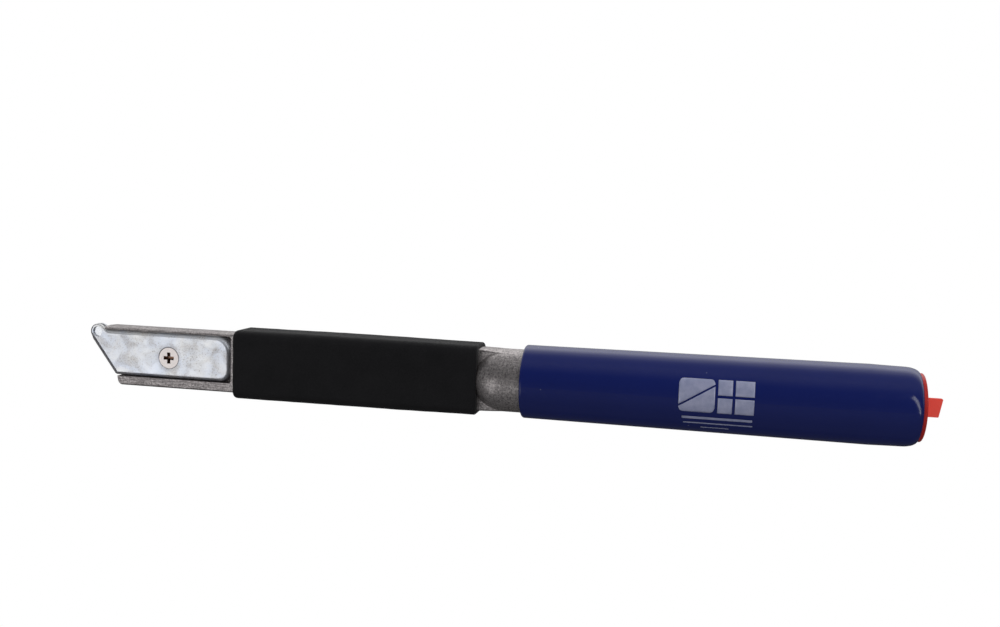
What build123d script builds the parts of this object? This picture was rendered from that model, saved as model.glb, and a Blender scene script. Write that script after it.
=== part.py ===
"""Heavy-duty hand glass cutter with a clamped wheel insert and a hollow, plugged handle.

Millimetres. The tool lies flat: X runs along the handle, tip at -X, butt at +X, and
+Z is the face that carries the cutter insert. The origin is at the bottom centre of
the tool's bounding box, so the handle's axis is at the height AXIS_Z.
"""

import os
from math import cos, radians, sin

from build123d import *

# --- Overall ---
TIP_X = -150.7
BUTT_X = 150.7

# --- Handle sleeve (dipped vinyl) ---
SLEEVE_FRONT_X = 14.45
SLEEVE_END_X = 143.0
SLEEVE_FRONT_R = 12.7
SLEEVE_REAR_R = 13.15
SLEEVE_RIM_ROUND = 0.8
SLEEVE_SWELL_X = 128.0
SLEEVE_SHOULDER_X = 138.5
SLEEVE_SHOULDER_R = 12.9
SLEEVE_FACE_R = 11.1
SLEEVE_END_WALL = 1.7
SLEEVE_MOUTH_R = 9.65
AXIS_Z = SLEEVE_REAR_R

# --- Die-cast handle: flat head and shank, domed nose, hollow round tube ---
TUBE_R = 11.0
TUBE_BORE_R = 9.6
TUBE_END_X = SLEEVE_END_X - SLEEVE_END_WALL - 0.05
BORE_START_X = 14.0
NOSE_X = 7.0
TUBE_END_ROUND = 1.0
SHANK_HALF_W = 11.0
SHANK_DRAFT_W = 0.25
SHANK_HALF_T = 4.7
SHANK_EDGE_ROUND = 0.9
CORNER_FADE_X = -8.0
CORNER_FADE_R = 12.0
RECESS_TOP_Y = 9.85
RECESS_BOTTOM_Y = -7.4
RECESS_END_X = -93.65
RECESS_CORNER_R = 1.0
RAIL_TOP_START_X = -144.4
RAIL_LEAN = 0.6
RAIL_BOTTOM_START_X = -139.5
RAIL_BOTTOM_ROUND = 2.6

# --- Cutter insert: plate, wheel and axle ---
PLATE_T = 3.4
PLATE_BELOW_RAILS = 0.2
PLATE_TOP_Z = AXIS_Z + SHANK_HALF_T - PLATE_BELOW_RAILS
PLATE_FLOOR_Z = PLATE_TOP_Z - PLATE_T
PLATE_END_X = -94.0
PLATE_TOP_Y = 9.75
PLATE_BOTTOM_Y = -7.1
PLATE_TOP_CORNER_R = 6.0
PLATE_BOTTOM_CORNER_R = 4.5
PLATE_DIE_ROLL = 1.6
SLANT_ANGLE = -53.7
SLANT_BEVEL_W = 1.3
SLANT_BEVEL_DEPTH = 0.4
LOBE_BEVEL_W = 0.5
LOBE_BEVEL_DEPTH = 0.2

WHEEL_R = 2.95
WHEEL_T = 1.1
WHEEL_BEVEL_W = 0.3
WHEEL_BORE_R = 0.74
WHEEL_X = TIP_X + WHEEL_R
WHEEL_Y = 8.8
WHEEL_Z = PLATE_FLOOR_Z + PLATE_T / 2
CHEEK_R = 2.85
SLANT_OFFSET = 3.35
SLANT_LEAD = 1.2
FINGER_REACH = 3.1
LOBE_ARC_START = 47.0
LOBE_ARC_END = 205.0
WHEEL_SLOT_R = 3.35
WHEEL_SLOT_T = 1.2
EYE_R = 1.9

AXLE_HEAD_R = 1.88
AXLE_HEAD_T = 0.4
AXLE_R = 0.7

# --- Clamp screw: flat head, M4 x 0.7 ---
SCREW_X = -118.6
SCREW_Y = 0.45
SCREW_HEAD_R = 3.85
SCREW_HEAD_EDGE = 0.15
SCREW_SUNK = 0.1
SCREW_R = 2.0
SCREW_LENGTH = 8.2
SCREW_END_CHAMFER = 0.4
COUNTERSINK_R = 4.15
PLATE_HOLE_R = 2.25
THREAD_HOLE_R = 2.05
CROSS_ACROSS = 4.1
CROSS_W = 1.3
CROSS_DEPTH = 1.8
CROSS_TAPER = 9.0

# --- Foam grip over the shank ---
FOAM_START_X = -91.6
FOAM_END_X = -1.3
FOAM_HALF_W = 12.5
FOAM_HALF_T = 8.0
FOAM_CORNER_R = 3.2
FOAM_FRONT_ROUND = 1.3
FOAM_REAR_ROUND = 0.8
FOAM_NOSE_GAP = 0.15

# --- Storage plug ---
PLUG_GAP = 0.05
FLANGE_R = 11.1
FLANGE_RIM_T = 1.1
FLANGE_CROWN = 0.9
FLANGE_ROUND = 0.3
PLUG_R = 9.3
PLUG_RIB_R = 9.54
PLUG_RIB_W = 0.9
PLUG_DEPTH = 11.0
PLUG_WALL = 1.5
PLUG_RIB_SETBACKS = (4.0, 7.0)
TAB_T = 1.4
TAB_TOP_Y = 3.3
TAB_BOTTOM_Y = -2.8
TAB_SLANT = 1.1
TAB_ROUND = 0.35

# --- Spare inserts in the hollow handle ---
SPARE_GAP_FRONT = 0.4
SPARE_GAP_REAR = 0.35

os.makedirs("parts", exist_ok=True)

long_axis = Axis((0, 0, AXIS_Z), (1, 0, 0))
# Half-section plane: local x is the tool's X, local y is the radius from its long axis.
half_section = Plane(origin=(0, 0, AXIS_Z), x_dir=(1, 0, 0), z_dir=(0, -1, 0))
# Cross-section plane: local x is the tool's Y, local y is its Z, and it faces +X.
cross_section = Plane(origin=(0, 0, AXIS_Z), x_dir=(0, 1, 0), z_dir=(1, 0, 0))


def write(part, name):
    part.label = name
    export_step(part, f"parts/{name}.step")


# === Handle casting ===
# The head's plan outline: the rails' ends lean like the insert's, and the floor under
# the insert stops short of the wheel, so that only the insert reaches the glass.
slant = Vector(cos(radians(SLANT_ANGLE)), sin(radians(SLANT_ANGLE)))
floor_drop = (RAIL_BOTTOM_START_X - RAIL_TOP_START_X) / slant.X * slant.Y
head_corner = (RAIL_BOTTOM_START_X + RAIL_LEAN, -SHANK_HALF_W)

with BuildPart() as handle_casting:
    with BuildSketch(Plane.XY.offset(AXIS_Z - SHANK_HALF_T)) as plan:
        with BuildLine():
            Polyline(
                (RAIL_TOP_START_X - RAIL_LEAN, SHANK_HALF_W),
                (RAIL_TOP_START_X, RECESS_TOP_Y),
                (RAIL_TOP_START_X, RECESS_BOTTOM_Y - floor_drop),
                (RAIL_BOTTOM_START_X, RECESS_BOTTOM_Y),
                head_corner,
                (NOSE_X, -SHANK_HALF_W),
                (NOSE_X, SHANK_HALF_W),
                close=True,
            )
        make_face()
        fillet(plan.vertices().sort_by_distance(head_corner)[0], RAIL_BOTTOM_ROUND)
    extrude(amount=2 * SHANK_HALF_T)
    # The bar's drafted, rounded cross-section, widest at the parting line.
    with BuildSketch(cross_section.offset(TIP_X)) as drafted:
        with BuildLine():
            Polyline(
                (SHANK_HALF_W, 0),
                (SHANK_HALF_W - SHANK_DRAFT_W, SHANK_HALF_T),
                (SHANK_DRAFT_W - SHANK_HALF_W, SHANK_HALF_T),
                (-SHANK_HALF_W, 0),
                (SHANK_DRAFT_W - SHANK_HALF_W, -SHANK_HALF_T),
                (SHANK_HALF_W - SHANK_DRAFT_W, -SHANK_HALF_T),
                close=True,
            )
        make_face()
        side_corners = drafted.vertices().filter_by_position(Axis.Y, -0.1, 0.1)
        fillet(drafted.vertices() - side_corners, SHANK_EDGE_ROUND)
    extrude(amount=NOSE_X - TIP_X, mode=Mode.INTERSECT)
    # The bar's corners fade away where the round tube takes over.
    with BuildSketch(half_section):
        with BuildLine():
            Polyline(
                (TIP_X, 0),
                (TIP_X, CORNER_FADE_R),
                (CORNER_FADE_X, CORNER_FADE_R),
                (NOSE_X, TUBE_R),
                (NOSE_X, 0),
                close=True,
            )
        make_face()
    revolve(axis=long_axis, mode=Mode.INTERSECT)
    # The round tube and its domed nose, which runs out onto the flat shank.
    with BuildSketch(half_section):
        with BuildLine():
            CenterArc((NOSE_X, 0), TUBE_R, 90, 90)
            Polyline(
                (NOSE_X - TUBE_R, 0),
                (TUBE_END_X, 0),
                (TUBE_END_X, TUBE_R),
                (NOSE_X, TUBE_R),
            )
        make_face()
    revolve(axis=long_axis)
    fillet(handle_casting.edges().group_by(Axis.X)[-1], TUBE_END_ROUND)
    # Storage bore, open at the butt.
    with BuildSketch(half_section):
        with Locations(((BORE_START_X + TUBE_END_X) / 2, TUBE_BORE_R / 2)):
            Rectangle(TUBE_END_X - BORE_START_X, TUBE_BORE_R)
    revolve(axis=long_axis, mode=Mode.SUBTRACT)
    # Recess that holds the insert between two rails.
    with BuildSketch(Plane.XY.offset(PLATE_FLOOR_Z)) as recess:
        with Locations((RECESS_END_X, (RECESS_TOP_Y + RECESS_BOTTOM_Y) / 2)):
            Rectangle(
                RECESS_END_X - TIP_X + 1,
                RECESS_TOP_Y - RECESS_BOTTOM_Y,
                align=(Align.MAX, Align.CENTER),
            )
        fillet(recess.vertices().group_by(Axis.X)[-1], RECESS_CORNER_R)
    extrude(amount=2 * PLATE_T, mode=Mode.SUBTRACT)
    # Threaded hole for the clamp screw, right through the recess floor.
    with Locations((SCREW_X, SCREW_Y, PLATE_FLOOR_Z)):
        Hole(radius=THREAD_HOLE_R, depth=2 * SHANK_HALF_T)
write(handle_casting.part, "handle_casting")


# === Cutter insert plate ===
wheel_centre = Vector(WHEEL_X, WHEEL_Y)
slant_normal = Vector(slant.Y, -slant.X)
slant_start = wheel_centre + slant_normal * SLANT_OFFSET + slant * SLANT_LEAD
slant_run = (PLATE_BOTTOM_Y - slant_start.Y) / slant.Y
slant_end = slant_start + slant * slant_run
finger_root = (WHEEL_X + FINGER_REACH, PLATE_TOP_Y)

with BuildPart() as cutter_plate:
    with BuildSketch(Plane.XY.offset(PLATE_FLOOR_Z)) as outline:
        with BuildLine():
            lobe = CenterArc(
                wheel_centre, CHEEK_R, LOBE_ARC_START, LOBE_ARC_END - LOBE_ARC_START
            )
            Polyline(
                lobe @ 1,
                slant_start,
                slant_end,
                (PLATE_END_X, PLATE_BOTTOM_Y),
                (PLATE_END_X, PLATE_TOP_Y),
                finger_root,
                lobe @ 0,
            )
        make_face()
        right_corners = outline.vertices().group_by(Axis.X)[-1].sort_by(Axis.Y)
        fillet(right_corners[-1], PLATE_TOP_CORNER_R)
        right_corners = outline.vertices().sort_by_distance((PLATE_END_X, PLATE_BOTTOM_Y))
        fillet(right_corners[0], PLATE_BOTTOM_CORNER_R)
    extrude(amount=PLATE_T)
    # Ground bevel along the slanted front edge, and a finer one round the lobe.
    top_edges = cutter_plate.edges().group_by(Axis.Z)[-1]
    slant_middle = (slant_start + slant_end) * 0.5
    bevel_edge = top_edges.sort_by_distance((slant_middle.X, slant_middle.Y, PLATE_TOP_Z))[0]
    plate_face = cutter_plate.faces().sort_by(Axis.Z)[-1]
    chamfer(bevel_edge, SLANT_BEVEL_W, SLANT_BEVEL_DEPTH, reference=plate_face)
    # Rounded edge that the punch leaves at the rear end.
    top_edges = cutter_plate.edges().group_by(Axis.Z)[-1]
    rear_edges = top_edges.filter_by(
        lambda edge: edge.center().X > PLATE_END_X - PLATE_TOP_CORNER_R
    )
    fillet(rear_edges, PLATE_DIE_ROLL)
    # Slot for the wheel between the two cheeks.
    with BuildSketch(Plane.XY.offset(WHEEL_Z - WHEEL_SLOT_T / 2)):
        with Locations((WHEEL_X, WHEEL_Y)):
            Circle(WHEEL_SLOT_R)
    extrude(amount=WHEEL_SLOT_T, mode=Mode.SUBTRACT)
    # Eye for the axle's head in the upper cheek, and its seat in the lower cheek.
    with Locations((WHEEL_X, WHEEL_Y, PLATE_TOP_Z)):
        Hole(radius=EYE_R, depth=PLATE_T / 2)
    with Locations((WHEEL_X, WHEEL_Y, WHEEL_Z)):
        Hole(radius=AXLE_R + 0.01, depth=PLATE_T / 2)
    with Locations((SCREW_X, SCREW_Y, PLATE_TOP_Z)):
        CounterSinkHole(
            radius=PLATE_HOLE_R,
            counter_sink_radius=COUNTERSINK_R,
            depth=PLATE_T,
            counter_sink_angle=90,
        )
    lobe_rim = (
        cutter_plate.edges()
        .group_by(Axis.Z)[-1]
        .filter_by(GeomType.CIRCLE)
        .sort_by_distance((WHEEL_X - CHEEK_R, WHEEL_Y, PLATE_TOP_Z))[0]
    )
    plate_face = cutter_plate.faces().sort_by(Axis.Z)[-1]
    chamfer(lobe_rim, LOBE_BEVEL_W, LOBE_BEVEL_DEPTH, reference=plate_face)


# === Cutting wheel: carbide disc with a two-sided ground edge ===
with BuildPart() as cutting_wheel:
    with BuildSketch(Plane.XY.offset(WHEEL_Z - WHEEL_T / 2)):
        with Locations((WHEEL_X, WHEEL_Y)):
            Circle(WHEEL_R)
    extrude(amount=WHEEL_T)
    chamfer(
        cutting_wheel.edges().filter_by(GeomType.CIRCLE),
        length=WHEEL_T / 2 - 0.04,
        length2=WHEEL_BEVEL_W,
    )
    with Locations((WHEEL_X, WHEEL_Y, WHEEL_Z)):
        Hole(radius=WHEEL_BORE_R, depth=WHEEL_T)


# === Wheel axle: headed pin, sunk in the eye ===
axle_head_z = WHEEL_Z + WHEEL_SLOT_T / 2
with BuildPart() as wheel_axle:
    with BuildSketch(Plane.XY.offset(axle_head_z)):
        with Locations((WHEEL_X, WHEEL_Y)):
            Circle(AXLE_HEAD_R)
    extrude(amount=AXLE_HEAD_T)
    chamfer(wheel_axle.edges().group_by(Axis.Z)[-1], 0.1)
    with BuildSketch(Plane.XY.offset(PLATE_FLOOR_Z)):
        with Locations((WHEEL_X, WHEEL_Y)):
            Circle(AXLE_R)
    extrude(amount=axle_head_z - PLATE_FLOOR_Z)


# === Clamp screw ===
screw_top_z = PLATE_TOP_Z - SCREW_SUNK
screw_cone_z = screw_top_z - SCREW_HEAD_EDGE
screw_neck_z = screw_cone_z - (SCREW_HEAD_R - SCREW_R)
screw_tip_z = screw_top_z - SCREW_LENGTH
screw_section = Plane(origin=(SCREW_X, SCREW_Y, 0), x_dir=(1, 0, 0), z_dir=(0, -1, 0))

with BuildPart() as clamp_screw:
    with BuildSketch(screw_section):
        with BuildLine():
            Polyline(
                (0, screw_top_z),
                (SCREW_HEAD_R, screw_top_z),
                (SCREW_HEAD_R, screw_cone_z),
                (SCREW_R, screw_neck_z),
                (SCREW_R, screw_tip_z + SCREW_END_CHAMFER),
                (SCREW_R - SCREW_END_CHAMFER, screw_tip_z),
                (0, screw_tip_z),
                close=True,
            )
        make_face()
    revolve(axis=Axis((SCREW_X, SCREW_Y, 0), (0, 0, 1)))
    # Tapered cross recess for the driver.
    with BuildSketch(Plane.XY.offset(screw_top_z)):
        with Locations((SCREW_X, SCREW_Y)):
            Rectangle(CROSS_ACROSS, CROSS_W)
            Rectangle(CROSS_W, CROSS_ACROSS)
    extrude(amount=-CROSS_DEPTH, taper=CROSS_TAPER, mode=Mode.SUBTRACT)
write(clamp_screw.part, "clamp_screw")


# === Foam grip ===
with BuildPart() as foam_grip:
    with BuildSketch(cross_section.offset(FOAM_START_X)):
        RectangleRounded(2 * FOAM_HALF_W, 2 * FOAM_HALF_T, FOAM_CORNER_R)
    extrude(amount=FOAM_END_X - FOAM_START_X)
    fillet(foam_grip.edges().group_by(Axis.X)[0], FOAM_FRONT_ROUND)
    fillet(foam_grip.edges().group_by(Axis.X)[-1], FOAM_REAR_ROUND)
    # The shank's own section, and the nose that dents the rear end.
    with BuildSketch(cross_section.offset(FOAM_START_X)):
        RectangleRounded(2 * SHANK_HALF_W, 2 * SHANK_HALF_T, SHANK_EDGE_ROUND)
    extrude(amount=FOAM_END_X - FOAM_START_X, mode=Mode.SUBTRACT)
    with Locations((NOSE_X, 0, AXIS_Z)):
        Sphere(TUBE_R + FOAM_NOSE_GAP, mode=Mode.SUBTRACT)
write(foam_grip.part, "foam_grip")


# === Vinyl sleeve ===
sleeve_bore_r = TUBE_R + 0.02
with BuildPart() as handle_sleeve:
    with BuildSketch(half_section) as sleeve_profile:
        with BuildLine():
            Polyline(
                (SLEEVE_SHOULDER_X, SLEEVE_SHOULDER_R),
                (SLEEVE_SWELL_X, SLEEVE_REAR_R),
                (SLEEVE_FRONT_X, SLEEVE_FRONT_R),
                (SLEEVE_FRONT_X, sleeve_bore_r),
                (SLEEVE_END_X - SLEEVE_END_WALL, sleeve_bore_r),
                (SLEEVE_END_X - SLEEVE_END_WALL, SLEEVE_MOUTH_R),
                (SLEEVE_END_X, SLEEVE_MOUTH_R),
                (SLEEVE_END_X, SLEEVE_FACE_R),
            )
            EllipticalCenterArc(
                (SLEEVE_SHOULDER_X, SLEEVE_FACE_R),
                SLEEVE_END_X - SLEEVE_SHOULDER_X,
                SLEEVE_SHOULDER_R - SLEEVE_FACE_R,
                arc_size=90,
            )
        make_face()
        front_rim = (SLEEVE_FRONT_X, SLEEVE_FRONT_R)
        fillet(sleeve_profile.vertices().sort_by_distance(front_rim)[0], SLEEVE_RIM_ROUND)
    revolve(axis=long_axis)
write(handle_sleeve.part, "handle_sleeve")


# === Storage plug with its pull tab ===
plug_face_x = SLEEVE_END_X + PLUG_GAP
plug_tip_x = plug_face_x - PLUG_DEPTH
flange_crown_x = plug_face_x + FLANGE_RIM_T + FLANGE_CROWN

with BuildPart() as storage_plug:
    with BuildSketch(half_section) as plug_profile:
        with BuildLine():
            Polyline(
                (flange_crown_x, 0),
                (plug_face_x, 0),
                (plug_face_x, PLUG_R - PLUG_WALL),
                (plug_tip_x, PLUG_R - PLUG_WALL),
                (plug_tip_x, PLUG_R - 0.3),
                (plug_tip_x + 0.8, PLUG_R),
                (plug_face_x, PLUG_R),
                (plug_face_x, FLANGE_R),
                (plug_face_x + FLANGE_RIM_T, FLANGE_R),
            )
            TangentArc(
                (flange_crown_x, 0),
                (plug_face_x + FLANGE_RIM_T, FLANGE_R),
                tangent=(0, 1),
                tangent_from_first=True,
            )
        make_face()
        flange_rim = (plug_face_x + FLANGE_RIM_T, FLANGE_R)
        fillet(plug_profile.vertices().sort_by_distance(flange_rim)[0], FLANGE_ROUND)
    revolve(axis=long_axis)
    for setback in PLUG_RIB_SETBACKS:
        with BuildSketch(cross_section.offset(plug_face_x - setback)):
            Circle(PLUG_RIB_R)
            Circle(PLUG_R - PLUG_WALL / 2, mode=Mode.SUBTRACT)
        extrude(amount=-PLUG_RIB_W)
    # The pull tab's free end is cut on the slant.
    with BuildSketch(Plane.XY.offset(AXIS_Z - TAB_T / 2)) as tab:
        with BuildLine():
            Polyline(
                (plug_face_x + 1, TAB_TOP_Y),
                (BUTT_X, TAB_TOP_Y),
                (BUTT_X - TAB_SLANT, TAB_BOTTOM_Y),
                (plug_face_x + 1, TAB_BOTTOM_Y),
                close=True,
            )
        make_face()
        fillet(tab.vertices().sort_by(Axis.X)[-2:], TAB_ROUND)
    extrude(amount=TAB_T)
write(storage_plug.part, "storage_plug")


# === The insert in use, and the spares that lie in the storage bore ===
insert_parts = {
    "plate": cutter_plate.part,
    "wheel": cutting_wheel.part,
    "axle": wheel_axle.part,
}
write(cutter_plate.part, "cutter_plate")
write(cutting_wheel.part, "cutting_wheel")
write(wheel_axle.part, "wheel_axle")

spare_y = -(WHEEL_Y + CHEEK_R + PLATE_BOTTOM_Y) / 2
spare_z = AXIS_Z - WHEEL_Z
front_spare_x = BORE_START_X + SPARE_GAP_FRONT - TIP_X
rear_spare_x = plug_tip_x - SPARE_GAP_REAR - PLATE_END_X
for number, spare_x in ((1, front_spare_x), (2, rear_spare_x)):
    for kind, piece in insert_parts.items():
        spare = piece.moved(Location((spare_x, spare_y, spare_z)))
        write(spare, f"spare_{kind}_{number}")
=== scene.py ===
"""Looks of the hand glass cutter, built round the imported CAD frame, in metres."""

import math

import bpy
from mathutils import Matrix, Vector, noise


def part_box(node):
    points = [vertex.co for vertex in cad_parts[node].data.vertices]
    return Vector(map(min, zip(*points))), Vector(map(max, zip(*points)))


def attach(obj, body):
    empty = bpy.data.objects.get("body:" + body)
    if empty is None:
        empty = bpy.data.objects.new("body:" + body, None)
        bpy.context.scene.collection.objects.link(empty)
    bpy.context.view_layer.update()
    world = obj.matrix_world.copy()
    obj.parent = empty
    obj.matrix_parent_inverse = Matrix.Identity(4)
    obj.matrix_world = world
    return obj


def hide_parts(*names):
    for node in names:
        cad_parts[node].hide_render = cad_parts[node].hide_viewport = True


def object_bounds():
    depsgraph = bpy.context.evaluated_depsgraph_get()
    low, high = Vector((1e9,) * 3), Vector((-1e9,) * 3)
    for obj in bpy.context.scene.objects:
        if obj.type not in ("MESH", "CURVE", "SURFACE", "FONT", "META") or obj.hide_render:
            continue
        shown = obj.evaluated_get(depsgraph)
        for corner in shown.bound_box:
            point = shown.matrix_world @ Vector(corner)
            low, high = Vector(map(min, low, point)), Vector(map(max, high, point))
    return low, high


MM = 0.001

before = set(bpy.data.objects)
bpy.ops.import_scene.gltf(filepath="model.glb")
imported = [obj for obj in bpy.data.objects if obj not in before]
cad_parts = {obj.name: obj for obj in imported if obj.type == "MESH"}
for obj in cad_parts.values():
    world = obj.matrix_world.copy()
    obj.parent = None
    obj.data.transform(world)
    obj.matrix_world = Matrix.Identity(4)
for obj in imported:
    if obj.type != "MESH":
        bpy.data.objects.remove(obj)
cad_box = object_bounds()

sleeve_low, sleeve_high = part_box("handle_sleeve")
foam_low, foam_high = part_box("foam_grip")
_, plate_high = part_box("cutter_plate")
screw_low, screw_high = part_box("clamp_screw")
AXIS_Z = (sleeve_low.z + sleeve_high.z) / 2


# === Node helpers ===
class Look:
    """A material and its node tree. Textures read object coordinates in millimetres."""

    def __init__(self, name):
        self.material = bpy.data.materials.new(name)
        self.material.use_nodes = True
        self.tree = self.material.node_tree
        self.shader = self.tree.nodes["Principled BSDF"]
        self.place = self.add("ShaderNodeTexCoord").outputs["Object"]
        self.mm = self.scaled((1000, 1000, 1000))

    def add(self, kind, **settings):
        node = self.tree.nodes.new(kind)
        for key, value in settings.items():
            setattr(node, key, value)
        return node

    def feed(self, socket, value):
        if isinstance(value, bpy.types.NodeSocket):
            self.tree.links.new(value, socket)
        else:
            socket.default_value = value

    def scaled(self, scale):
        """Object coordinates times scale, so (1000, 1000, 1000) gives millimetres."""
        mapping = self.add("ShaderNodeMapping")
        self.feed(mapping.inputs["Vector"], self.place)
        mapping.inputs["Scale"].default_value = scale
        return mapping.outputs["Vector"]

    def noise(self, scale, detail=3.0, roughness=0.5, vector=None, distortion=0.0):
        node = self.add("ShaderNodeTexNoise")
        self.feed(node.inputs["Vector"], vector or self.mm)
        node.inputs["Scale"].default_value = scale
        node.inputs["Detail"].default_value = detail
        node.inputs["Roughness"].default_value = roughness
        node.inputs["Distortion"].default_value = distortion
        return node.outputs["Fac"]

    def cells(self, scale):
        """Distance from the nearest of many scattered points."""
        node = self.add("ShaderNodeTexVoronoi", feature="F1")
        self.feed(node.inputs["Vector"], self.mm)
        node.inputs["Scale"].default_value = scale
        return node.outputs["Distance"]

    def steps(self, value, low, high, to_low=0.0, to_high=1.0):
        """value from low to high becomes to_low to to_high, held at the ends."""
        node = self.add("ShaderNodeMapRange", clamp=True)
        for name, number in (
            ("Value", value),
            ("From Min", low),
            ("From Max", high),
            ("To Min", to_low),
            ("To Max", to_high),
        ):
            self.feed(node.inputs[name], number)
        return node.outputs["Result"]

    def math(self, operation, a, b=0.0):
        node = self.add("ShaderNodeMath", operation=operation)
        self.feed(node.inputs[0], a)
        self.feed(node.inputs[1], b)
        return node.outputs["Value"]

    def mix(self, share, a, b):
        node = self.add("ShaderNodeMix", data_type="RGBA", blend_type="MIX")
        self.feed(node.inputs["Factor"], share)
        for name, colour in (("A", a), ("B", b)):
            socket = [s for s in node.inputs if s.name == name and s.type == "RGBA"][0]
            self.feed(socket, colour if isinstance(colour, bpy.types.NodeSocket) else (*colour, 1))
        return [s for s in node.outputs if s.type == "RGBA"][0]

    def axis(self, name):
        """One object coordinate in millimetres."""
        node = self.add("ShaderNodeSeparateXYZ")
        self.feed(node.inputs[0], self.mm)
        return node.outputs[name]

    def away_from(self, x, y):
        """Distance in millimetres from the upright line through this point."""
        flat = self.add("ShaderNodeVectorMath", operation="MULTIPLY")
        self.feed(flat.inputs[0], self.mm)
        flat.inputs[1].default_value = (1, 1, 0)
        away = self.add("ShaderNodeVectorMath", operation="DISTANCE")
        self.feed(away.inputs[0], flat.outputs["Vector"])
        away.inputs[1].default_value = (x, y, 0)
        return away.outputs["Value"]

    def facing(self, axis):
        """1 where the surface faces along this axis of the object, -1 where it faces back."""
        place = self.add("ShaderNodeTexCoord")
        split = self.add("ShaderNodeSeparateXYZ")
        self.feed(split.inputs[0], place.outputs["Normal"])
        return split.outputs[axis]

    def bump(self, height, depth, under=None):
        """Bump of this depth in metres, on top of the bump under it."""
        node = self.add("ShaderNodeBump")
        node.inputs["Distance"].default_value = depth
        self.feed(node.inputs["Height"], height)
        if under is not None:
            self.feed(node.inputs["Normal"], under)
        return node.outputs["Normal"]

    def set(self, **sockets):
        for key, value in sockets.items():
            self.feed(self.shader.inputs[key.replace("_", " ")], value)


def rgb(*values):
    return (*values, 1.0)


# === Materials ===
# Places along the tool, in millimetres, where a finish changes and where painted light on the head
# and the red tab begins.
HEAD_FROM_X, HEAD_TO_X = -92.0, -97.0
WORN_X, WORN_Y = -110.5, 2.5
TAB_FROM_X, TAB_TO_X = 144.4, 146.5


def vinyl():
    """Dipped navy vinyl: glossy, faintly wavy, with a few specks of dust."""
    look = Look("navy_vinyl")
    cloud = look.noise(0.06, detail=2)
    colour = look.mix(cloud, (0.0108, 0.0196, 0.138), (0.0132, 0.0226, 0.160))
    specks = look.steps(look.cells(0.11), 0.035, 0.012)
    colour = look.mix(specks, colour, (0.16, 0.18, 0.28))
    roughness = look.steps(look.noise(0.5, detail=4), 0.3, 0.7, 0.10, 0.17)
    wave = look.bump(look.noise(0.12, detail=1), 0.05 * MM)
    skin = look.bump(look.noise(1.6, detail=2), 0.002 * MM, wave)
    look.set(Base_Color=colour, Roughness=roughness, Normal=skin, IOR=1.5)
    return look.material


def cast_metal():
    """Tumbled die casting: grainy grey, pitted, with drawn lines along the head's rails."""
    look = Look("tumbled_casting")
    grain = look.noise(1.5, detail=6, roughness=0.72)
    fine = look.noise(4.5, detail=3, roughness=0.6)
    patches = look.noise(0.22, detail=3)
    colour = look.mix(look.steps(grain, 0.36, 0.64), (0.22, 0.20, 0.205), (0.86, 0.81, 0.80))
    colour = look.mix(look.steps(patches, 0.35, 0.65, 0.0, 0.35), colour, (0.34, 0.315, 0.32))
    bright = look.steps(fine, 0.60, 0.72, 0.0, 0.55)
    colour = look.mix(bright, colour, (0.92, 0.88, 0.87))
    drawn = look.noise(1.0, detail=4, roughness=0.65, vector=look.scaled((110, 3200, 3200)))
    on_head = look.steps(look.axis("X"), HEAD_FROM_X, HEAD_TO_X)
    lines = look.math("MULTIPLY", on_head, look.steps(drawn, 0.46, 0.60, 0.0, 0.85))
    colour = look.mix(lines, colour, (0.20, 0.175, 0.175))
    roughness = look.steps(grain, 0.3, 0.7, 0.50, 0.34)
    lumps = look.bump(look.noise(0.9, detail=4, roughness=0.6), 0.13 * MM)
    pits = look.steps(look.cells(1.1), 0.08, 0.32)
    colour = look.mix(look.steps(pits, 0.6, 0.0, 0.0, 0.6), colour, (0.13, 0.12, 0.12))
    pitted = look.bump(pits, 0.05 * MM, lumps)
    skin = look.bump(fine, 0.02 * MM, pitted)
    # Painted light: the upper rail's rounded edge, where it leans to +Y and up, is made far less
    # metallic, so that it shows lighter than the rest.
    leaning = look.steps(look.facing("Y"), 0.15, 0.45)
    upward = look.steps(look.facing("Z"), 0.10, 0.35)
    painted_light_rail_edge = look.math("MULTIPLY", on_head, look.math("MULTIPLY", leaning, upward))
    metallic = look.steps(painted_light_rail_edge, 0.0, 1.0, 0.85, 0.25)
    look.set(Base_Color=colour, Roughness=roughness, Normal=skin, Metallic=metallic)
    return look.material


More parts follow.
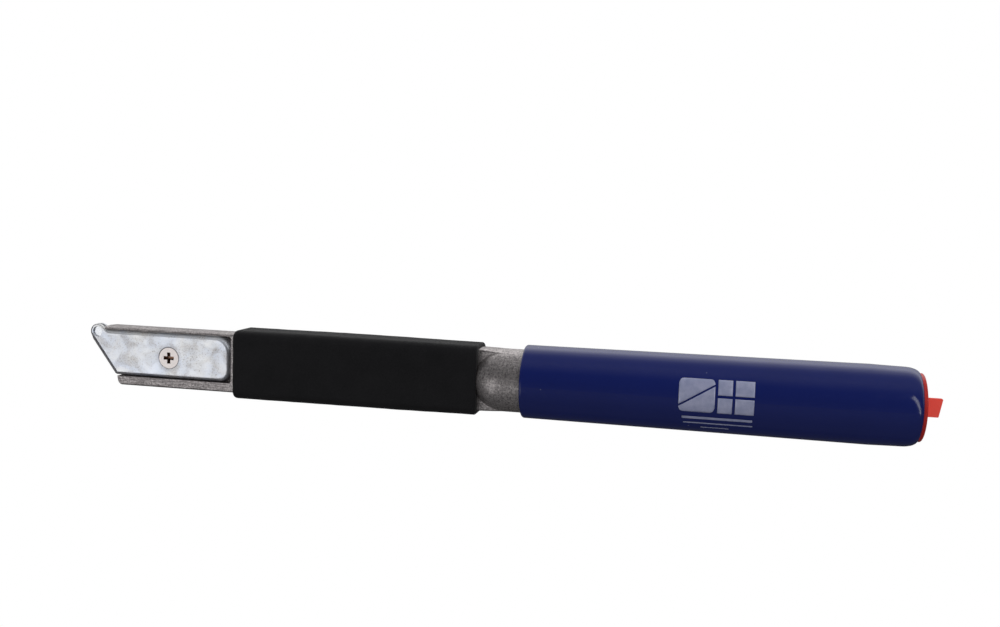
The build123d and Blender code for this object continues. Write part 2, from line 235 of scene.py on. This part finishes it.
def plated_steel():
    """Bright zinc plate: bluish white, with faint brown blotches, specks and fine scratches."""
    look = Look("zinc_plate")
    cloud = look.noise(0.16, detail=5, roughness=0.6, distortion=0.6)
    tint = look.noise(0.11, detail=3, distortion=0.8)
    colour = look.mix(look.steps(tint, 0.35, 0.65), (0.88, 0.885, 0.895), (0.80, 0.85, 0.95))
    brown = look.steps(cloud, 0.50, 0.72, 0.0, 0.38)
    colour = look.mix(brown, colour, (0.68, 0.60, 0.52))
    fine = look.noise(1.7, detail=6, roughness=0.75)
    near_blotch = look.steps(cloud, 0.42, 0.58, 0.20, 0.8)
    worn = look.steps(look.away_from(WORN_X, WORN_Y), 8.0, 3.0, 0.0, 0.9)
    specked = look.math("MAXIMUM", near_blotch, worn)
    specks = look.math("MULTIPLY", look.steps(fine, 0.52, 0.62, 0.0, 0.85), specked)
    colour = look.mix(specks, colour, (0.40, 0.38, 0.37))
    pinholes = look.steps(look.cells(0.55), 0.12, 0.05, 0.0, 0.75)
    colour = look.mix(pinholes, colour, (0.36, 0.33, 0.30))
    screw_middle = (screw_low + screw_high) / 2 / MM
    # Painted shade: a darker ring round the screw head, where the gap round it lies in shade.
    ring = look.steps(look.away_from(screw_middle.x, screw_middle.y), 5.6, 4.1, 0.0, 0.35)
    colour = look.mix(ring, colour, (0.34, 0.33, 0.34))
    # Painted shade: faces turned towards -X, such as the bevel along the slanted front edge, are
    # coloured darker grey.
    ground = look.steps(look.facing("X"), -0.08, -0.20)
    colour = look.mix(ground, colour, (0.52, 0.52, 0.55))
    rear = plate_high.x / MM
    rear_shade = look.steps(look.axis("X"), rear - 3.5, rear - 0.4, 0.0, 0.40)
    colour = look.mix(rear_shade, colour, (0.50, 0.50, 0.50))
    scratches = look.noise(1.0, detail=3, vector=look.scaled((900, 90, 900)))
    roughness = look.steps(cloud, 0.3, 0.75, 0.30, 0.46)
    dents = look.bump(look.noise(0.35, detail=3), 0.03 * MM)
    drawn = look.bump(scratches, 0.004 * MM, dents)
    skin = look.bump(fine, 0.008 * MM, drawn)
    # Painted light: the rolled edge on the upper rail's side, which faces +Y, is made far less
    # metallic, so that it shows lighter than the face.
    metallic = look.steps(look.facing("Y"), 0.03, 0.30, 1.0, 0.15)
    look.set(Base_Color=colour, Roughness=roughness, Normal=skin, Metallic=metallic)
    return look.material


def ground_carbide():
    """Tungsten carbide: dark grey, finely ground."""
    look = Look("ground_carbide")
    grain = look.noise(4.0, detail=4)
    colour = look.mix(look.steps(grain, 0.3, 0.7), (0.30, 0.31, 0.33), (0.44, 0.45, 0.47))
    roughness = look.steps(grain, 0.3, 0.7, 0.25, 0.40)
    look.set(Base_Color=colour, Roughness=roughness, Metallic=1.0)
    look.set(Normal=look.bump(grain, 0.004 * MM))
    return look.material


def polished_steel():
    """The axle's bright end."""
    look = Look("polished_steel")
    grain = look.noise(3.0, detail=3)
    colour = look.mix(look.steps(grain, 0.3, 0.7), (0.80, 0.83, 0.88), (0.90, 0.92, 0.95))
    look.set(Base_Color=colour, Roughness=look.steps(grain, 0.3, 0.7, 0.22, 0.36), Metallic=1.0)
    look.set(Normal=look.bump(grain, 0.006 * MM))
    return look.material


def screw_steel():
    """Nickel-plated screw with a turned face, and painted shade in the driver recess."""
    look = Look("screw_nickel")
    grain = look.noise(3.2, detail=4, roughness=0.6)
    colour = look.mix(look.steps(grain, 0.3, 0.7), (0.80, 0.73, 0.71), (0.92, 0.86, 0.84))
    face = screw_high.z / MM
    # Painted shade: the driver recess, below the face, is coloured dark brown.
    recess_shade = look.steps(look.axis("Z"), face - 0.12, face - 0.32)
    colour = look.mix(recess_shade, colour, (0.30, 0.18, 0.13))
    roughness = look.steps(grain, 0.3, 0.7, 0.30, 0.42)
    look.set(Base_Color=colour, Roughness=roughness, Metallic=0.95)
    look.set(Normal=look.bump(grain, 0.012 * MM))
    return look.material


def red_plastic():
    """Moulded polyethylene: satin red. The thin tab lets light through, and this is painted on: a
    paler colour and a faint glow.
    """
    look = Look("red_plastic")
    cloud = look.noise(0.25, detail=3)
    colour = look.mix(look.steps(cloud, 0.3, 0.7), (0.56, 0.022, 0.019), (0.64, 0.032, 0.026))
    # Painted light: the thin tab is coloured paler red.
    thin = look.steps(look.axis("X"), TAB_FROM_X, TAB_TO_X)
    colour = look.mix(thin, colour, (0.96, 0.115, 0.085))
    # Painted light: a faint glow in the thin tab, which is no lamp.
    look.set(Emission_Color=rgb(1.0, 0.085, 0.06))
    look.set(Emission_Strength=look.math("MULTIPLY", thin, 0.17))
    roughness = look.steps(look.noise(1.2, detail=3), 0.3, 0.7, 0.28, 0.40)
    wave = look.bump(look.noise(0.5, detail=2), 0.02 * MM)
    skin = look.bump(look.noise(4.0, detail=2), 0.004 * MM, wave)
    look.set(Base_Color=colour, Roughness=roughness, Normal=skin, IOR=1.5)
    look.set(Subsurface_Weight=0.25, Subsurface_Radius=(0.9 * MM, 0.25 * MM, 0.15 * MM))
    look.set(Subsurface_Scale=1.0)
    return look.material


def closed_cell_foam():
    """Black closed-cell foam: matte, with fine open pores on its skin."""
    look = Look("black_foam")
    cloud = look.noise(0.10, detail=4)
    dark, light = (0.0080, 0.0080, 0.0092), (0.0112, 0.0110, 0.0125)
    colour = look.mix(look.steps(cloud, 0.3, 0.7), dark, light)
    pores = look.steps(look.cells(2.6), 0.05, 0.42)
    colour = look.mix(look.steps(pores, 0.5, 0.0, 0.0, 0.45), colour, (0.004, 0.004, 0.005))
    soft = look.bump(look.noise(0.45, detail=3), 0.06 * MM)
    skin = look.bump(pores, 0.05 * MM, soft)
    fuzz = look.bump(look.noise(6.0, detail=3), 0.02 * MM, skin)
    look.set(Base_Color=colour, Normal=fuzz)
    look.set(Roughness=look.steps(pores, 0.0, 1.0, 0.95, 0.80))
    look.set(Specular_IOR_Level=0.25, Sheen_Weight=0.08, Sheen_Roughness=0.5)
    return look.material


def silver_ink():
    """Printed silver ink, thin in places, so that the navy shows through a little."""
    look = Look("silver_ink")
    thin = look.noise(0.35, detail=4, roughness=0.6)
    grain = look.noise(5.0, detail=2)
    colour = look.mix(look.steps(thin, 0.3, 0.75), (0.39, 0.43, 0.66), (0.60, 0.62, 0.84))
    colour = look.mix(look.steps(grain, 0.55, 0.75, 0.0, 0.3), colour, (0.16, 0.20, 0.34))
    look.set(Base_Color=colour, Roughness=look.steps(grain, 0.3, 0.7, 0.30, 0.45))
    look.set(Metallic=0.25, Normal=look.bump(grain, 0.004 * MM))
    return look.material


def paint(piece, material):
    piece.data.materials.clear()
    piece.data.materials.append(material)


def smooth(piece):
    for polygon in piece.data.polygons:
        polygon.use_smooth = True


def mesh_piece(name, points, faces, body, material):
    """A new piece of the object from points in metres, riding on a CAD body."""
    mesh = bpy.data.meshes.new(name)
    mesh.from_pydata(points, [], faces)
    mesh.validate()
    piece = bpy.data.objects.new(name, mesh)
    bpy.context.scene.collection.objects.link(piece)
    smooth(piece)
    paint(piece, material)
    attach(piece, body)
    return piece


# === CAD nodes keep their shapes and get their finishes ===
zinc = plated_steel()
carbide = ground_carbide()
pin_steel = polished_steel()
finishes = {
    "handle_casting": cast_metal(),
    "handle_sleeve": vinyl(),
    "storage_plug": red_plastic(),
    "clamp_screw": screw_steel(),
    "cutter_plate": zinc,
    "spare_plate_1": zinc,
    "spare_plate_2": zinc,
    "cutting_wheel": carbide,
    "spare_wheel_1": carbide,
    "spare_wheel_2": carbide,
    "wheel_axle": pin_steel,
    "spare_axle_1": pin_steel,
    "spare_axle_2": pin_steel,
}
for node, material in finishes.items():
    paint(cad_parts[node], material)


# === Foam grip ===
FOAM_CORNER = 3.2 * MM
FOAM_WALL_IN_W = 1.5 * MM
FOAM_WALL_IN_T = 3.3 * MM
FOAM_INNER_CORNER = 1.0 * MM
FOAM_FRONT_ROUND = 1.3 * MM
FOAM_FRONT_INSET = FOAM_FRONT_ROUND * 0.6
FOAM_REAR_ROUND = 0.9 * MM
FOAM_NARROWING = 0.03
NOSE_X = 7.0 * MM
NOSE_R = 11.15 * MM
FOAM_AROUND = 144
FOAM_ALONG = 160
FOAM_ROUND_STEPS = 6
FOAM_FACE_STEPS = 5
NARROWING_STARTS = 0.4


def rounded_rectangle(share, half_w, half_t, corner):
    """Point and outward normal at this share of the way round, from the +Y side's middle."""
    flat_w, flat_t = half_w - corner, half_t - corner
    quarter = math.pi / 2 * corner
    walk = share * (4 * flat_w + 4 * flat_t + 4 * quarter)
    sides = (
        (flat_t, (half_w, 0), (0, 1)),
        (2 * flat_w, (flat_w, half_t), (-1, 0)),
        (2 * flat_t, (-half_w, flat_t), (0, -1)),
        (2 * flat_w, (-flat_w, -half_t), (1, 0)),
        (flat_t, (half_w, -flat_t), (0, 1)),
    )
    corners = ((flat_w, flat_t), (-flat_w, flat_t), (-flat_w, -flat_t), (flat_w, -flat_t))
    for side, (length, start, way) in enumerate(sides):
        if walk <= length or side == 4:
            point = (start[0] + way[0] * walk, start[1] + way[1] * walk)
            return Vector(point), Vector((way[1], -way[0]))
        walk -= length
        if walk <= quarter:
            angle = math.pi / 2 * side + walk / corner
            normal = Vector((math.cos(angle), math.sin(angle)))
            return Vector(corners[side]) + normal * corner, normal
        walk -= quarter


def nose_dent(across, up):
    """How far the domed nose pushes the foam's rear face back at this point of it."""
    inside = NOSE_R**2 - across**2 - up**2
    if inside <= 0:
        return foam_high.x
    return min(foam_high.x, NOSE_X - math.sqrt(inside))


def foam_grip():
    """Stretched foam tube: softened ends, a faint waviness, narrower towards the nose."""
    half_w = (foam_high.y - foam_low.y) / 2
    half_t = (foam_high.z - foam_low.z) / 2
    rings = []
    for index in range(FOAM_AROUND):
        share = index / FOAM_AROUND
        outer, normal = rounded_rectangle(share, half_w, half_t, FOAM_CORNER)
        inner, _ = rounded_rectangle(
            share, half_w - FOAM_WALL_IN_W, half_t - FOAM_WALL_IN_T, FOAM_INNER_CORNER
        )
        # Each point of the line: x, place across the bar, waviness, and hold of the nose.
        line = []
        # Front face, from the shank outwards, and the rounding onto the side.
        front_top = outer - normal * FOAM_FRONT_INSET
        for step in range(FOAM_FACE_STEPS):
            at = inner.lerp(front_top, step / FOAM_FACE_STEPS)
            line.append((foam_low.x, at, 0.0, 0.0))
        for step in range(FOAM_ROUND_STEPS):
            angle = math.pi / 2 * step / FOAM_ROUND_STEPS
            at = outer - normal * FOAM_FRONT_INSET * (1 - math.sin(angle))
            line.append((foam_low.x + FOAM_FRONT_ROUND * (1 - math.cos(angle)), at, 0.0, 0.0))
        side_start = foam_low.x + FOAM_FRONT_ROUND
        side_end = nose_dent(*outer) - FOAM_REAR_ROUND
        for step in range(FOAM_ALONG + 1):
            share_along = step / FOAM_ALONG
            swell = min(1.0, 8 * share_along, 8 * (1 - share_along))
            line.append((side_start + (side_end - side_start) * share_along, outer, swell, 1.0))
        rear_top = outer - normal * FOAM_REAR_ROUND
        for step in range(1, FOAM_ROUND_STEPS + 1):
            angle = math.pi / 2 * step / FOAM_ROUND_STEPS
            at = outer - normal * FOAM_REAR_ROUND * (1 - math.cos(angle))
            line.append((side_end + FOAM_REAR_ROUND * math.sin(angle), at, 0.0, 1.0))
        for step in range(1, FOAM_FACE_STEPS + 1):
            at = rear_top.lerp(inner, step / FOAM_FACE_STEPS)
            line.append((nose_dent(*at), at, 0.0, 1 - step / FOAM_FACE_STEPS))
        points = []
        for x, at, swell, hug in line:
            there = Vector((x, at.x, at.y)) / MM
            broad = noise.noise(there * 0.045)
            small = noise.noise(there * 0.22 + Vector((9, 3, 5)))
            place = at + normal * (0.16 * broad + 0.05 * small) * MM * swell
            along = (x - foam_low.x) / (foam_high.x - foam_low.x)
            rearward = max(0.0, along - NARROWING_STARTS) / (1 - NARROWING_STARTS)
            narrow = 1 - FOAM_NARROWING * rearward * hug
            points.append((x, place.x * narrow, AXIS_Z + place.y))
        rings.append(points)
    per_ring = len(rings[0])
    points = [point for ring in rings for point in ring]
    faces = []
    for index in range(FOAM_AROUND):
        here, there = index * per_ring, (index + 1) % FOAM_AROUND * per_ring
        for step in range(per_ring):
            after = (step + 1) % per_ring
            faces.append((here + step, here + after, there + after, there + step))
    piece = mesh_piece("foam_skin", points, faces, "handle", closed_cell_foam())
    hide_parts("foam_grip")


foam_grip()


# === Generic printed mark on the sleeve ===
# A pane with a score line across it beside four plain blocks, over three thin rules.
INK_FROM = 0.004 * MM
INK_T = 0.03 * MM
SLEEVE_FRONT_R = 12.86 * MM
MARK_STEP = 0.5 * MM
MARK_ROWS = 14


def sleeve_radius(x):
    """Radius of the sleeve's slight taper at x."""
    share = (x - sleeve_low.x) / (sleeve_high.x - sleeve_low.x)
    return SLEEVE_FRONT_R + (sleeve_high.z - AXIS_Z - SLEEVE_FRONT_R) * share


def ink_patch(name, x_from, x_to, low, high, material):
    """Ink between two curves, low(x) and high(x), measured round the sleeve from its top."""
    columns = max(2, round((x_to - x_from) / MARK_STEP))
    points, faces = [], []
    for layer in (INK_FROM, INK_T):
        for column in range(columns + 1):
            x = x_from + (x_to - x_from) * column / columns
            radius = sleeve_radius(x)
            for row in range(MARK_ROWS + 1):
                along = low(x) + (high(x) - low(x)) * row / MARK_ROWS
                angle = along / radius
                out = radius + layer
                points.append((x, out * math.sin(angle), AXIS_Z + out * math.cos(angle)))
    rows = MARK_ROWS + 1
    layer_size = (columns + 1) * rows
    for column in range(columns):
        for row in range(MARK_ROWS):
            a = column * rows + row
            quad = (a, a + rows, a + rows + 1, a + 1)
            faces.append(quad[::-1])
            faces.append(tuple(corner + layer_size for corner in quad))
    edge = [column * rows for column in range(columns + 1)]
    edge += [columns * rows + row for row in range(1, rows)]
    edge += [column * rows + rows - 1 for column in range(columns - 1, -1, -1)]
    edge += [row for row in range(rows - 2, 0, -1)]
    for here, there in zip(edge, edge[1:] + edge[:1]):
        faces.append((here, there, there + layer_size, here + layer_size))
    return mesh_piece(name, points, faces, "handle", material)


def printed_mark():
    """The whole print. Heights are measured round the sleeve from its top line."""
    ink = silver_ink()
    left = 67.5 * MM
    bottom, top = -4.3 * MM, 6.9 * MM
    height = top - bottom
    pane_right = left + 11.6 * MM
    corner = 1.6 * MM
    score_gap = 0.35 * MM

    def corner_cut(x):
        """How much the pane's rounded corners take off its top and bottom at x."""
        near = min(x - left, pane_right - x)
        if near >= corner:
            return 0.0
        return corner - math.sqrt(max(corner**2 - (corner - near) ** 2, 0.0))

    def score(x):
        share = (x - left) / (pane_right - left)
        return bottom + height * (0.18 + 0.64 * share)

    ink_patch(
        "print_pane_upper", left, pane_right,
        lambda x: score(x) + score_gap, lambda x: top - corner_cut(x), ink,
    )
    ink_patch(
        "print_pane_lower", left, pane_right,
        lambda x: bottom + corner_cut(x), lambda x: score(x) - score_gap, ink,
    )
    block_left = pane_right + 0.9 * MM
    for index, (start, width) in enumerate(((0.0, 4.6), (5.5, 6.0))):
        x_from = block_left + start * MM
        for level, (low_share, high_share) in enumerate(((0.0, 0.46), (0.54, 1.0))):
            low = bottom + height * low_share
            high = bottom + height * high_share
            ink_patch(
                f"print_block_{index}_{level}", x_from, x_from + width * MM,
                lambda x, low=low: low, lambda x, high=high: high, ink,
            )
    rules = ((68.8, 91.2, -6.6, 0.95), (69.3, 91.4, -8.9, 0.55), (75.0, 84.0, -11.2, 0.50))
    for index, (start, end, middle, width) in enumerate(rules):
        ink_patch(
            f"print_rule_{index}", start * MM, end * MM,
            lambda x, m=middle, w=width: (m - w / 2) * MM,
            lambda x, m=middle, w=width: (m + w / 2) * MM, ink,
        )


printed_mark()


# === Stage: floor, light and camera ===
def camera_only(tree, seen, unseen, output):
    """Shows the camera one shader, and everything else the other."""
    path = tree.nodes.new("ShaderNodeLightPath")
    mix = tree.nodes.new("ShaderNodeMixShader")
    tree.links.new(path.outputs["Is Camera Ray"], mix.inputs["Fac"])
    tree.links.new(unseen, mix.inputs[1])
    tree.links.new(seen, mix.inputs[2])
    tree.links.new(mix.outputs["Shader"], output)


def level_ramp(tree, value, low, high, stops, colour):
    """Colour at value, from stops of (value, level) between low and high."""
    reach = tree.nodes.new("ShaderNodeMapRange")
    reach.inputs["From Min"].default_value = low
    reach.inputs["From Max"].default_value = high
    tree.links.new(value, reach.inputs["Value"])
    ramp = tree.nodes.new("ShaderNodeValToRGB")
    tree.links.new(reach.outputs["Result"], ramp.inputs["Fac"])
    elements = ramp.color_ramp.elements
    while len(elements) < len(stops):
        elements.new(0.5)
    for element, (at, level) in zip(elements, stops):
        element.position = (at - low) / (high - low)
        element.color = colour(level)
    return ramp.outputs["Color"]


def floor():
    """Plain white to the camera. It lights the object most from a band on its +Y side."""
    mesh = bpy.data.meshes.new("floor")
    half = 6.0
    corners = [(-half, -half, 0), (half, -half, 0), (half, half, 0), (-half, half, 0)]
    mesh.from_pydata(corners, [], [(0, 1, 2, 3)])
    piece = bpy.data.objects.new("floor", mesh)
    bpy.context.scene.collection.objects.link(piece)
    piece.location.z = cad_box[0].z
    material = bpy.data.materials.new("white_floor")
    material.use_nodes = True
    tree = material.node_tree
    tree.nodes.clear()
    output = tree.nodes.new("ShaderNodeOutputMaterial")
    white = tree.nodes.new("ShaderNodeEmission")
    white.inputs["Strength"].default_value = 1.0
    place = tree.nodes.new("ShaderNodeNewGeometry")
    split = tree.nodes.new("ShaderNodeSeparateXYZ")
    tree.links.new(place.outputs["Position"], split.inputs[0])
    # How far out on the +Y side in millimetres, and how bright the floor is there.
    stops = ((0, 0.05), (11, 0.20), (17, 0.60), (27, 1.5), (45, 0.78), (87, 0.33), (250, 0.24))
    band = level_ramp(
        tree,
        split.outputs["Y"],
        -100 * MM,
        300 * MM,
        [(millimetres * MM, level) for millimetres, level in stops],
        lambda level: rgb(level / 2, level / 2, level / 2),
    )
    card = tree.nodes.new("ShaderNodeEmission")
    card.inputs["Strength"].default_value = 2.0
    tree.links.new(band, card.inputs["Color"])
    camera_only(tree, white.outputs[0], card.outputs[0], output.inputs["Surface"])
    piece.data.materials.append(material)


def sky():
    """Plain white to the camera. To the object, brighter on its +Y side and dark overhead."""
    world = bpy.data.worlds.new("studio")
    bpy.context.scene.world = world
    world.use_nodes = True
    tree = world.node_tree
    tree.nodes.clear()
    output = tree.nodes.new("ShaderNodeOutputWorld")
    place = tree.nodes.new("ShaderNodeTexCoord")
    split = tree.nodes.new("ShaderNodeSeparateXYZ")
    tree.links.new(place.outputs["Generated"], split.inputs[0])
    lean = tree.nodes.new("ShaderNodeMath")
    lean.operation = "ARCTAN2"
    tree.links.new(split.outputs["Y"], lean.inputs[0])
    tree.links.new(split.outputs["Z"], lean.inputs[1])
    # Lean from straight up towards +Y in degrees, and how bright it is there.
    stops = (
        (-115, 0.05), (-70, 0.09), (-18, 0.09), (-8, 0.08), (2, 0.02), (40, 0.01),
        (48, 0.07), (55, 0.12), (69, 0.19), (92, 0.24), (115, 0.30),
    )
    glow = level_ramp(
        tree,
        lean.outputs["Value"],
        -math.pi,
        math.pi,
        [(math.radians(degrees), level) for degrees, level in stops],
        lambda level: rgb(level, level, level * 1.03),
    )
    dim = tree.nodes.new("ShaderNodeBackground")
    tree.links.new(glow, dim.inputs["Color"])
    white = tree.nodes.new("ShaderNodeBackground")
    white.inputs["Color"].default_value = rgb(1, 1, 1)
    camera_only(tree, white.outputs[0], dim.outputs[0], output.inputs["Surface"])


def softbox(name, place, target, size, watts, mirrored=True, roll=0):
    """An area light. With mirrored False it lights surfaces, but makes no highlight."""
    light = bpy.data.lights.new(name, "AREA")
    light.shape = "RECTANGLE"
    light.size, light.size_y = size
    light.energy = watts
    piece = bpy.data.objects.new(name, light)
    bpy.context.scene.collection.objects.link(piece)
    piece.location = place
    aim = (Vector(target) - Vector(place)).to_track_quat("-Z", "Y").to_matrix()
    piece.rotation_euler = (aim @ Matrix.Rotation(math.radians(roll), 3, "Z")).to_euler()
    piece.visible_camera = False
    piece.visible_glossy = mirrored


CAMERA_PLACE = (0.07266, 0.05757, AXIS_Z + 0.33704)
CAMERA_TURN = (("Y", 11.372), ("X", -5.718), ("Z", 1.922))
CAMERA_LENS = 35.786


def camera():
    """A 36 mm lens, 0.34 m above the tool and a little towards its butt."""
    data = bpy.data.cameras.new("camera")
    data.sensor_width = 36.0
    data.lens = CAMERA_LENS
    piece = bpy.data.objects.new("camera", data)
    bpy.context.scene.collection.objects.link(piece)
    turn = Matrix.Identity(4)
    for axis, degrees in CAMERA_TURN:
        turn = turn @ Matrix.Rotation(math.radians(degrees), 4, axis)
    piece.matrix_world = Matrix.Translation(CAMERA_PLACE) @ turn
    bpy.context.scene.camera = piece


floor()
sky()
softbox("left_box", (-0.56, -0.22, 0.80), (-0.10, 0, 0), (0.55, 0.55), 1.12)
softbox("right_strip", (1.0, 0.30, 0.95), (0.14, 0, 0.02), (1.4, 0.22), 3.2, roll=18)
softbox("back_key", (0, 1.2, 0.45), (0, 0, 0), (1.8, 0.5), 6.8, mirrored=False)
softbox("top_fill", (0, -0.45, 1.0), (0, 0, 0), (1.0, 1.0), 1.6, mirrored=False)
camera()
bpy.context.scene.view_settings.view_transform = "Standard"
